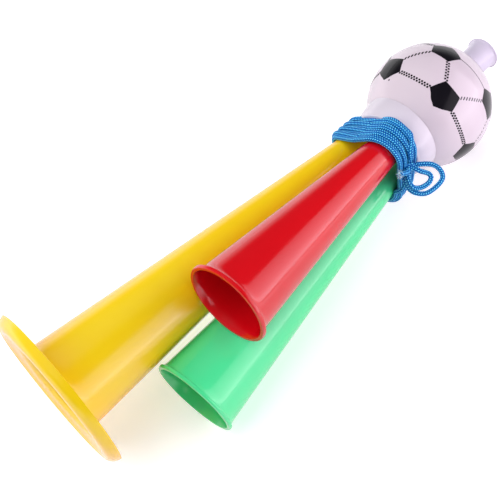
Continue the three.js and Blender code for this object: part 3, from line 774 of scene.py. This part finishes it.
# Each edge colour below is painted shade: the outline darkens to it where the surface turns away.
YELLOW = moulded_plastic(
    "yellow_plastic", linear(255, 222, 20), linear(255, 204, 4), 0.17, 0.24, ior=1.6,
    edge=linear(255, 158, 4),
)
GREEN = moulded_plastic(
    "green_plastic", linear(82, 240, 160), linear(64, 226, 140), 0.13, 0.2, ior=1.62,
    edge=linear(48, 208, 118),
)
RED = moulded_plastic(
    "red_plastic", linear(220, 10, 24), linear(202, 4, 16), 0.12, 0.2, ior=1.58,
    edge=linear(170, 0, 8),
)
BALL_WHITE = moulded_plastic(
    "ball_white_plastic", linear(223, 210, 220), linear(214, 201, 212), 0.16, 0.26,
    edge=linear(178, 166, 178),
)
PALE_WHITE = moulded_plastic(
    "pale_white_plastic", linear(214, 207, 225), linear(205, 198, 218), 0.12, 0.2,
    edge=linear(176, 168, 190),
)
COLLAR_WHITE = moulded_plastic(
    "collar_white_plastic", linear(222, 215, 226), linear(213, 206, 218), 0.14, 0.24,
    edge=linear(178, 170, 184),
)
CLIP_WHITE = moulded_plastic(
    "clip_white_plastic", linear(232, 230, 232), linear(214, 212, 216), 0.3, 0.45,
)
REED_BLACK = moulded_plastic(
    "reed_black_plastic", (0.02, 0.021, 0.024, 1), (0.012, 0.012, 0.014, 1), 0.3, 0.5,
)
INK = moulded_plastic(
    "printed_black_ink", (0.006, 0.0055, 0.008, 1), (0.011, 0.0095, 0.013, 1), 0.1, 0.2,
    ior=1.28, peel=0.05, drift=60.0,
)
GREY_INK = moulded_plastic(
    "thin_grey_ink", (0.09, 0.08, 0.1, 1), (0.16, 0.15, 0.17, 1), 0.2, 0.35,
    peel=0.05, drift=300.0,
)


def brass():
    """Rolled brass of the reed tongues: fine lines along the strip."""
    material, tree = new_material("reed_brass")
    lines = put(tree, "ShaderNodeMapping", {
        "Vector": own_place(tree), "Scale": (40.0, 900.0, 900.0),
    })
    grain = noise(tree, lines.outputs[0], 3.0, 4.0)
    shade(tree, {
        "Base Color": colour_ramp(
            tree, grain, (0, (0.55, 0.36, 0.12, 1)), (1, (0.78, 0.58, 0.26, 1)),
        ),
        "Roughness": remap(tree, grain, 0.0, 1.0, 0.22, 0.42),
        "Metallic": 1.0,
    })
    return material


def blue_braid():
    """Bright blue braided cord: painted highlights as pale slanted flecks on the strand crests,
    over painted shade in deep blue grooves.
    """
    material, tree = new_material("blue_braid_cord")
    braid = put(tree, "ShaderNodeGroup", node_tree=BRAID)
    fuzz = noise(tree, own_place(tree), 900.0, 3.0, 0.7)
    # Painted highlight: the strand crests, with some random fuzz, run up the ramp to pale cyan.
    strand = calc(tree, "MULTIPLY_ADD", braid.outputs["Strand"], 0.62, -0.06)
    lit = calc(tree, "MULTIPLY_ADD", fuzz, 0.5, strand)
    painted_crest_highlight = colour_ramp(
        tree, lit, (0.2, linear(0, 92, 186)), (0.5, linear(0, 168, 240)),
        (0.8, linear(130, 240, 255)),
    )
    # Painted shade: the grooves where the strands dive under darken to deep blue.
    dim = calc(tree, "MULTIPLY", braid.outputs["Groove"], 0.75)
    bump = put(tree, "ShaderNodeBump", {
        "Strength": 0.6, "Distance": 0.12 * MM, "Height": braid.outputs["Height"],
    })
    shade(tree, {
        "Base Color": mix_colours(tree, dim, painted_crest_highlight, linear(0, 62, 146)),
        "Roughness": remap(tree, lit, 0.0, 1.0, 0.62, 0.4),
        "Normal": bump.outputs["Normal"],
        "Specular IOR Level": 0.15,
    })
    return material


def pale_fibre():
    """The cut end's fibres, bleached to white and cyan where they have melted."""
    material, tree = new_material("pale_cut_fibre")
    spots = noise(tree, own_place(tree), 700.0, 2.0)
    tint = colour_ramp(tree, spots, (0.4, linear(84, 190, 240)), (0.55, linear(238, 252, 255)))
    shade(tree, {"Base Color": tint, "Roughness": 0.45})
    return material


BRASS = brass()
BRAIDED = blue_braid()
FIBRE = pale_fibre()

for piece, node in (
    (winding, "lanyard_winding"), (knot, "lanyard_knot"), (bow_outer, "lanyard_bow_outer"),
    (bow_inner, "lanyard_bow_inner"), (cord_end, "lanyard_end"),
):
    finish_as(piece, BRAIDED, "blue_braid", node)
finish_as(fray, FIBRE, "blue_braid")

# ------ trumpets


def bore_back(horn, start):
    """The bore from a place near the mouth back to the root, with the spigot's socket."""
    return [
        (cone_radius(horn, start) - WALL, start),
        (cone_radius(horn, SOCKET_SHOULDER) - WALL, SOCKET_SHOULDER),
        (SOCKET_RADIUS, SOCKET_DEPTH),
        (SOCKET_RADIUS, 0.0),
    ]


def lipped_profile(horn):
    """A cone whose edge flares into a small rolled lip with a flat front."""
    length, lip = horn["length"], horn["lip"]
    flare = length - LIP_FLARE
    outer = (cone_radius(horn, flare), flare)
    inner = (cone_radius(horn, flare) - WALL, flare)
    back = length - 2 * LIP_ROUND
    flat = lip - LIP_ROUND
    outside = [(ROOT_RADIUS, ROOT_CHAMFER)]
    outside += bend(outer, (cone_radius(horn, back), back), (lip, back), 10)
    outside += bend((lip, back), (lip, length), (flat, length), 7)[1:]
    inside = bend((flat - LIP_FLAT, length), (cone_radius(horn, length) - WALL, back), inner, 10)
    return outside + inside + bore_back(horn, flare)[1:] + [(ROOT_RADIUS - ROOT_CHAMFER, 0.0)]


def brimmed_profile(horn):
    """The long trumpet: cone, flare, dish, and a crest that rolls over to the swept brim."""
    length, lip = horn["length"], horn["lip"]
    flare, dish, edge = length - BRIM_FLARE, length - BRIM_DISH, length - BRIM_SWEEP
    cone, dished, brim = cone_radius(horn, flare), BRIM_DISH_RADIUS, BRIM_RADIUS
    inwards, down = BRIM_EDGE_ROUND
    front = bend((cone - WALL, flare), (cone, dish), (dished, dish), 12)
    front += bend(
        (dished, dish), (lip - BRIM_FLAT * 2, length - BRIM_DISH / 2), (lip - BRIM_FLAT, length), 6,
    )[1:]
    front.append((lip, length))
    front += bend((lip, length), ((lip + brim) / 2 + WALL, length), (brim, edge), 10)[1:]
    rounded = bend((brim, edge), (brim - inwards, edge - down), (brim - WALL, edge), 5)[1:-1]
    back = bend(
        (brim - WALL, edge), ((lip + brim) / 2, length - WALL), (lip, length - WALL), 9,
    )
    back.append((dished, dish - WALL))
    back += bend((dished - WALL, dish - WALL), (cone, dish - WALL), (cone, flare - WALL), 12)
    back.append((ROOT_RADIUS, ROOT_CHAMFER))
    bore = bore_back(horn, flare)[1:][::-1]
    return [(ROOT_RADIUS - ROOT_CHAMFER, 0.0), *bore, *front, *rounded, *back]


for name, material in (("red", RED), ("yellow", YELLOW), ("green", GREEN)):
    horn = HORNS[name]
    profile = brimmed_profile(horn) if name == "yellow" else lipped_profile(horn)
    points, faces = turned(profile)
    bell = new_piece(f"{name}_trumpet_bell", points, faces, horn_place(horn), f"{name}_trumpet")
    finish_as(bell, material, f"{name}_plastic", f"{name}_horn")

# ------ ball, collar, mouthpiece


def ball_profile():
    """The hollow ball's wall between the mouthpiece's hole and the collar's."""
    inside = BALL_RADIUS - BALL_WALL
    back_hole, front_hole = MOUTHPIECE_SPIGOT + FIT_GAP, COLLAR_NECK + FIT_GAP
    outer = ball_arc(
        BALL_RADIUS, -sphere_height(BALL_RADIUS, back_hole),
        sphere_height(BALL_RADIUS, front_hole), 60,
    )
    inner = ball_arc(
        inside, sphere_height(inside, front_hole), -sphere_height(inside, back_hole), 40,
    )
    return outer + inner


def mouthpiece_profile():
    """The mouthpiece: its foot on the ball, its waist, its flared rim, its bore and its spigot."""
    waist, wide, bore, end = MOUTHPIECE_WAIST, MOUTHPIECE_RIM, MOUTHPIECE_BORE, -MOUTHPIECE_REACH
    seat = -(BALL_RADIUS + FIT_GAP)
    foot = -sphere_height(-seat, MOUTHPIECE_FOOT)
    seat_edge = -sphere_height(-seat, MOUTHPIECE_SPIGOT)
    spigot = seat + BALL_WALL + MOUTHPIECE_SPIGOT_LENGTH
    flare, rim = end + MOUTHPIECE_FLARE, end + MOUTHPIECE_ROUND
    flat = wide - MOUTHPIECE_ROUND
    outside = bend((MOUTHPIECE_FOOT, foot), (waist, seat), (waist, flare), 14)
    outside += bend((waist, flare), (waist, rim), (wide, rim), 12)[1:]
    outside += bend((wide, rim), (wide, end), (flat, end), 8)[1:]
    inside = bend((flat - MOUTHPIECE_ROUND / 2, end), (bore, rim), (bore, flare), 12)
    inside.append((bore, spigot))
    return inside + [(MOUTHPIECE_SPIGOT, spigot), (MOUTHPIECE_SPIGOT, seat_edge)] + outside


def collar_profile():
    """The collar: a swelling from the ball's crease to its rounded front, and a neck inside."""
    seat = BALL_RADIUS + FIT_GAP
    crease = sphere_height(seat, COLLAR_CREASE)
    neck_top = sphere_height(seat, COLLAR_NECK)
    neck_end = sphere_height(BALL_RADIUS - BALL_WALL, COLLAR_NECK) - COLLAR_NECK_LENGTH
    edge = COLLAR_FRONT - COLLAR_ROUND
    swelling = ((COLLAR_CREASE + COLLAR_RADIUS) / 2 + COLLAR_SWELL, (crease + COLLAR_FRONT) / 2)
    skin = bend((COLLAR_CREASE, crease), swelling, (COLLAR_RADIUS, edge), 20)
    rounded = bend(
        (COLLAR_RADIUS, edge), (COLLAR_RADIUS, COLLAR_FRONT),
        (COLLAR_RADIUS - COLLAR_ROUND, COLLAR_FRONT), 8,
    )
    return [
        (COLLAR_BORE, neck_end), (COLLAR_NECK, neck_end), *ball_arc(seat, neck_top, crease, 6),
        *skin[1:], *rounded[1:], (COLLAR_BORE, COLLAR_BACK),
    ]


for name, profile, material, slot, node in (
    ("moulded_ball", ball_profile(), BALL_WHITE, "ball_white", "ball_shell"),
    ("blown_mouthpiece", mouthpiece_profile(), PALE_WHITE, "pale_white", "mouthpiece"),
    ("swelling_collar", collar_profile(), COLLAR_WHITE, "pale_white", "collar"),
):
    points, faces = turned(profile)
    finish_as(new_piece(name, points, faces, CHAMBER, "chamber"), material, slot, node)

# ------ football print

# Corners of the patches as (latitude towards the bells, longitude from the top trumpet),
# in degrees: shoulder, two of the base, shoulder, apex.
SEEN_PATCHES = {
    "upper_0": [(22.1, 13.2), (8.6, 6.3), (9.4, -13.3), (22.5, -18.7), (32.3, -2.0)],
    "upper_1": [(7.7, 54.3), (21.6, 49.2), (30.7, 66.2), (20.9, 79.4), (5.7, 77.2)],
    "lower_0": [(-22.3, 43.4), (-10.2, 36.9), (-9.0, 17.6), (-22.9, 11.3), (-33.7, 29.1)],
    "lower_4": [(-21.7, -24.4), (-10.1, -30.8), (-10.9, -53.4), (-25.6, -58.8), (-33.0, -40.2)],
    "upper_4": [(20.7, -59.1), (6.8, -66.8), (3.0, -86.2), (19.1, -90.4), (29.8, -73.4)],
}
# The regular scheme of both rings: the longitudes of the patches' middles, and their corners.
REGULAR_PATCHES = {
    "upper": (
        (-3.0, 66.0, 137.0, 209.0, 284.5), ((22, 16), (8.5, 10), (8.5, -10), (22, -16), (31, 0)),
    ),
    "lower": (
        (27.5, 98.0, 170.0, 245.0, 318.5),
        ((-22, 16.5), (-9.8, 10.4), (-9.8, -10.4), (-22, -16.5), (-31, 0)),
    ),
}
# A spot of ink that missed its patch.
STRAY_SPOT = (30.8, 58.3)
STRAY_SPOT_RADIUS = 0.5
# The ink's top and its underside, which lies just inside the ball's skin.
INK_LAYERS = (BALL_RADIUS + 0.05, BALL_RADIUS - 0.08)
INK_SMOOTH_BELOW = 25
PLATE_RINGS = 8
OUTLINE_STEPS = 8
STITCH_OUTLINE = (
    (-1, -0.7), (-0.75, -1), (0.75, -1), (1, -0.7), (1, 0.7), (0.75, 1), (-0.75, 1), (-1, 0.7),
)
STITCH_INSET = 1.0
STITCH_STAGGER = 0.25
# Each style: pitch, rows beside the seam, length and width of a stitch, and its tilt.
STITCH_STYLES = {
    "double": (1.5, (-0.58, 0.58), 1.02, 1.0, 14),
    "slanted": (1.6, (0.0,), 2.0, 0.84, 52),
    "thin": (1.5, (0.0,), 1.9, 0.7, 66),
    "dashed": (1.6, (0.0,), 0.95, 0.6, 14),
    "line": (1.0, (0.0,), 1.08, 0.46, 0),
}
# The seams that the photograph shows, by the patches they join. All others are double.
SEEN_STYLES = {
    ("upper_1", "upper_0"): "double", ("upper_0", "upper_4"): "double",
    ("upper_0", "lower_0"): "double", ("upper_1", "lower_0"): "slanted",
    ("upper_0", "lower_4"): "thin", ("upper_4", "lower_4"): "dashed",
    ("lower_0", "lower_4"): "line",
}
GREY_STYLES = ("thin", "line")
# How far the printed edge of a patch wavers, by the number of its side.
WAVERING = {
    "upper_0": {3: 0.012, 4: 0.02}, "upper_1": {1: 0.012, 2: 0.01}, "upper_4": {3: 0.01, 4: 0.012},
}


def on_ball(latitude, longitude, radius=BALL_RADIUS):
    """A point of the ball at a latitude and longitude in degrees."""
    up, round_ = math.radians(latitude), math.radians(longitude)
    return radius * np.array((
        math.cos(up) * math.cos(round_), math.cos(up) * math.sin(round_), math.sin(up),
    ))


def ink_plate(outline, points, faces):
    """Adds a thin raised plate of ink that follows the ball, filled from its outline's middle."""
    middle = unit(np.mean(outline, axis=0))
    count = len(outline)
    base = len(points)
    for radius in INK_LAYERS:
        points.append(middle * radius)
        for ring in range(1, PLATE_RINGS + 1):
            t = ring / PLATE_RINGS
            points.extend(unit(middle * (1 - t) + unit(p) * t) * radius for p in outline)
    layer = 1 + PLATE_RINGS * count
    for k in range(count):
        m = (k + 1) % count
        for start, flip in ((base, False), (base + layer, True)):
            made = [(start, start + 1 + k, start + 1 + m)]
            for ring in range(PLATE_RINGS - 1):
                a, b = start + 1 + ring * count, start + 1 + (ring + 1) * count
                made.append((a + k, b + k, b + m, a + m))
            faces.extend(face[::-1] if flip else face for face in made)
        a = base + 1 + (PLATE_RINGS - 1) * count
        faces.append((a + k, a + layer + k, a + layer + m, a + m))


def patch_outline(corners, wobble=None):
    """The outline of a patch with its sides split, and a printed edge that wavers a little."""
    outline = []
    for i, (a, b) in enumerate(zip(corners, corners[1:] + corners[:1])):
        p, q = on_ball(*a), on_ball(*b)
        for j in range(OUTLINE_STEPS):
            t = j / OUTLINE_STEPS
            point = unit(p * (1 - t) + q * t)
            if wobble and i in wobble:
                point = unit(point + np.array((0, 0, 1)) * wobble[i] * math.sin(math.pi * t)
                             * (0.6 + 0.4 * math.sin(9 * t + i)))
            outline.append(point * BALL_RADIUS)
    return outline


def corners_of(name):
    """Corners of a patch: as the photograph shows it, or from the regular scheme."""
    if name in SEEN_PATCHES:
        return SEEN_PATCHES[name]
    ring, index = name.split("_")
    middles, shape = REGULAR_PATCHES[ring]
    return [(lat, middles[int(index)] + lon) for lat, lon in shape]


def stitches(start, end, style, points, faces):
    """Adds a row of printed stitches from one corner to another, in one of the print's styles."""
    a, b = on_ball(*start), on_ball(*end)
    length = math.acos(max(-1, min(1, unit(a).dot(unit(b))))) * BALL_RADIUS
    pitch, rows, long, wide, tilt = STITCH_STYLES[style]
    turn = math.radians(tilt)
    count = max(2, round((length - STITCH_INSET) / pitch))
    corners = len(STITCH_OUTLINE)
    for i in range(count):
        for row in rows:
            t = (i + 0.5 + STITCH_STAGGER * np.sign(row)) / count
            middle = unit(a * (1 - t) + b * t)
            ahead = unit((b - a) - middle * middle.dot(b - a))
            side = np.cross(middle, ahead)
            middle = middle * BALL_RADIUS + side * row
            u = ahead * math.cos(turn) + side * math.sin(turn)
            v = np.cross(unit(middle), u)
            top = len(points)
            for radius in INK_LAYERS:
                for x, y in STITCH_OUTLINE:
                    points.append(unit(middle + u * x * long / 2 + v * y * wide / 2) * radius)
            under = top + corners
            faces.append(tuple(range(top, under)))
            faces.append(tuple(range(under + corners - 1, under - 1, -1)))
            for k in range(corners):
                m = (k + 1) % corners
                faces.append((top + k, under + k, under + m, top + m))


def nearest_corners(one, other):
    """The two patches' corners that lie closest to each other."""
    pairs = [(p, q) for p in corners_of(one) for q in corners_of(other)]
    return min(pairs, key=lambda pair: np.linalg.norm(on_ball(*pair[0]) - on_ball(*pair[1])))


def football_print():
    """All patches in black ink, and the stitch rows between them in black or thin grey."""
    black, grey = ([], []), ([], [])
    for ring in ("upper", "lower"):
        for index in range(5):
            name = f"{ring}_{index}"
            ink_plate(patch_outline(corners_of(name), WAVERING.get(name)), *black)
    middle = on_ball(*STRAY_SPOT)
    side = unit(np.cross(middle, (0, 0, 1))) * STRAY_SPOT_RADIUS
    up = unit(np.cross(side, middle)) * STRAY_SPOT_RADIUS
    angles = np.arange(OUTLINE_STEPS) * TAU / OUTLINE_STEPS
    ink_plate([middle + math.cos(a) * side + math.sin(a) * up for a in angles], *black)
    seams = []
    for index in range(5):
        after = (index + 1) % 5
        seams += [
            (f"upper_{after}", f"upper_{index}"), (f"lower_{after}", f"lower_{index}"),
            (f"upper_{index}", f"lower_{index}"), (f"upper_{after}", f"lower_{index}"),
        ]
    for one, other in seams:
        style = SEEN_STYLES.get((one, other)) or SEEN_STYLES.get((other, one)) or "double"
        start, end = nearest_corners(one, other)
        stitches(start, end, style, *(grey if style in GREY_STYLES else black))
    return black, grey


black_ink, grey_ink = football_print()
for name, ink, material in (
    ("printed_patches", black_ink, INK), ("printed_thin_seams", grey_ink, GREY_INK),
):
    piece = new_piece(name, *ink, CHAMBER, "chamber", INK_SMOOTH_BELOW)
    finish_as(piece, material, "ball_white")

# ------ CAD nodes that stay


def repaint(node, material):
    """Gives a CAD node that stays its better material."""
    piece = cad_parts[node]
    for spot in piece.material_slots:
        spot.material = material


repaint("socket_plate", COLLAR_WHITE)
for name in HORNS:
    repaint(f"{name}_reed_body", REED_BLACK)
    repaint(f"{name}_reed_tongue", BRASS)
    repaint(f"{name}_reed_clip", CLIP_WHITE)

# ------ floor, lamps and room

FLOOR_HALF = 60.0
FLOOR_WHITE = (0.93, 0.93, 0.94, 1)
FLOOR_GLOW = 0.42
FLOOR_GLOW_FAR = 0.92
FLOOR_GLOW_RISES = (0.3, 0.9)
KEY_LIGHT = {
    "middle": (-0.29, 0.51, 0.27), "along": (0.88, 0.47, 0.0), "back": (-0.32, 0.598, 0.7365),
    "size": (0.95, 0.6), "level": 3.75, "colour": (1.0, 0.9, 1.0), "fade": 0.3,
}
FILL_LIGHT = {
    "middle": (0.45, -0.68, 0.98), "along": (1, 0, 0), "back": (0.46, -0.62, 1.0),
    "size": (2.4, 2.0), "level": 1.85, "colour": (1.0, 0.98, 1.0), "fade": 1.0,
}
ROOM_WHITE = (0.98, 0.98, 1.0, 1)
ROOM_HORIZON = 1.0
ROOM_OVERHEAD = 0.08
ROOM_FADES = (0.02, 0.3)


def lay_floor():
    """A white floor that keeps the soft shadow.

    It glows for the camera, in reflections and through clear things, and more so far away, where
    the lamps light it less.
    """
    half = FLOOR_HALF
    mesh = bpy.data.meshes.new("studio_floor")
    corners = [(-half, -half, 0), (half, -half, 0), (half, half, 0), (-half, half, 0)]
    mesh.from_pydata(corners, [], [(0, 1, 2, 3)])
    floor = stand("studio_floor", mesh)
    material, tree = new_material("studio_white")
    paper = put(tree, "ShaderNodeBsdfDiffuse", {"Color": FLOOR_WHITE})
    ray = put(tree, "ShaderNodeLightPath").outputs
    seen = calc(tree, "MAXIMUM", ray["Is Camera Ray"], ray["Is Glossy Ray"])
    seen = calc(tree, "MAXIMUM", seen, ray["Is Transmission Ray"])
    away = put(tree, "ShaderNodeVectorMath", {0: own_place(tree)}, operation="LENGTH")
    level = remap(
        tree, away.outputs["Value"], *FLOOR_GLOW_RISES, FLOOR_GLOW, FLOOR_GLOW_FAR,
        interpolation_type="SMOOTHSTEP",
    )
    glow = put(tree, "ShaderNodeEmission", {"Strength": calc(tree, "MULTIPLY", seen, level)})
    both = put(tree, "ShaderNodeAddShader", {0: paper.outputs[0], 1: glow.outputs[0]})
    put(tree, "ShaderNodeOutputMaterial", {"Surface": both.outputs[0]})
    mesh.materials.append(material)


def hang_lamp(name, middle, along, back, size, level, colour, fade, seen_in_gloss=True):
    """A soft rectangular lamp: its long side runs along, and its light fades down its height."""
    data = bpy.data.lights.new(name, "AREA")
    data.shape = "RECTANGLE"
    data.size, data.size_y = size
    data.energy = level * math.pi * size[0] * size[1]
    data.color = colour
    tree = bare_tree(data)
    spot = put(tree, "ShaderNodeNewGeometry")
    parts = put(tree, "ShaderNodeSeparateXYZ", {0: spot.outputs["Parametric"]})
    falling = remap(tree, parts.outputs["Y"], 0.0, 1.0, fade, 1.0)
    light = put(tree, "ShaderNodeEmission", {"Strength": falling})
    put(tree, "ShaderNodeOutputLight", {"Surface": light.outputs[0]})
    lamp = stand(name, data)
    back = Vector(back).normalized()
    side = Vector(along)
    side = (side - back * side.dot(back)).normalized()
    stand_facing(lamp, middle, side, back)
    lamp.visible_camera = False
    lamp.visible_glossy = seen_in_gloss


def light_room():
    """A white horizon that fades to a dim room overhead, the same for every kind of ray."""
    world = bpy.data.worlds.new("studio_room")
    tree = bare_tree(world)
    where = put(tree, "ShaderNodeTexCoord").outputs["Generated"]
    parts = put(tree, "ShaderNodeSeparateXYZ", {0: where})
    level = remap(
        tree, parts.outputs["Z"], *ROOM_FADES, ROOM_HORIZON, ROOM_OVERHEAD,
        interpolation_type="SMOOTHSTEP",
    )
    room = put(tree, "ShaderNodeBackground", {"Color": ROOM_WHITE, "Strength": level})
    put(tree, "ShaderNodeOutputWorld", {"Surface": room.outputs[0]})
    bpy.context.scene.world = world


lay_floor()
hang_lamp("key_softbox", **KEY_LIGHT)
hang_lamp("overhead_fill", **FILL_LIGHT, seen_in_gloss=False)
light_room()
bpy.context.scene.view_settings.view_transform = "Standard"
